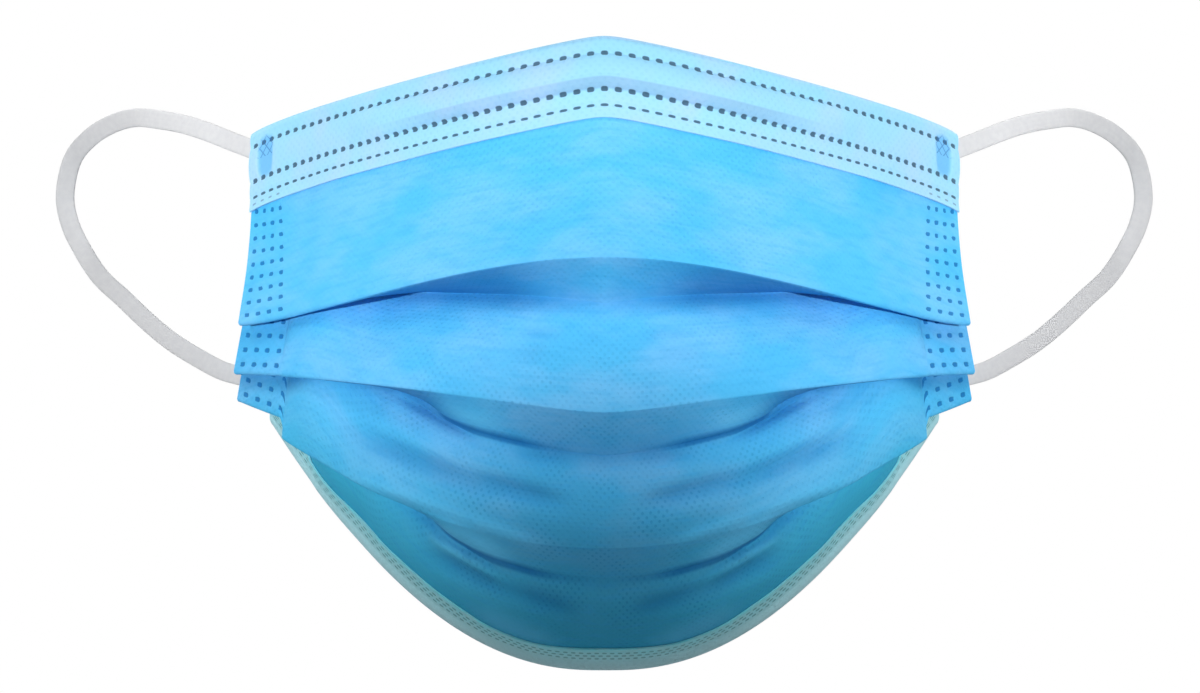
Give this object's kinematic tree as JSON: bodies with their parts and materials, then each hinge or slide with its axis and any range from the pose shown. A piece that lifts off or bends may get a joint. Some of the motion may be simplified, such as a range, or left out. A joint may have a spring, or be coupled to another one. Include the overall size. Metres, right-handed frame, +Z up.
{
  "type": "surgical face mask",
  "caption": "Pleated three-ply face mask in its worn form, with a bound top edge over a nose wire, a bound lower edge and elastic ear loops.",
  "frame": {"origin": "inside of the nose wire on the middle plane, where the mask sits on the bridge of the nose", "axes": "+X across the mask, to the right as seen from the front; +Y back towards the face; +Z up"},
  "size_m": [0.2044, 0.117, 0.1141],
  "materials": {
    "outer_cloth": "matt sky-blue nonwoven, white on the inside",
    "binding_cloth": "matt pale blue nonwoven",
    "wire_strip": "matt white plastic over wire",
    "elastic": "pale grey knitted elastic"
  },
  "bodies": {
    "root": {"pleated_panel": "outer_cloth", "top_binding": "binding_cloth", "nose_wire": "wire_strip", "bottom_binding": "binding_cloth", "ear_loop_left": "elastic", "ear_loop_right": "elastic"}
  },
  "joints": []
}
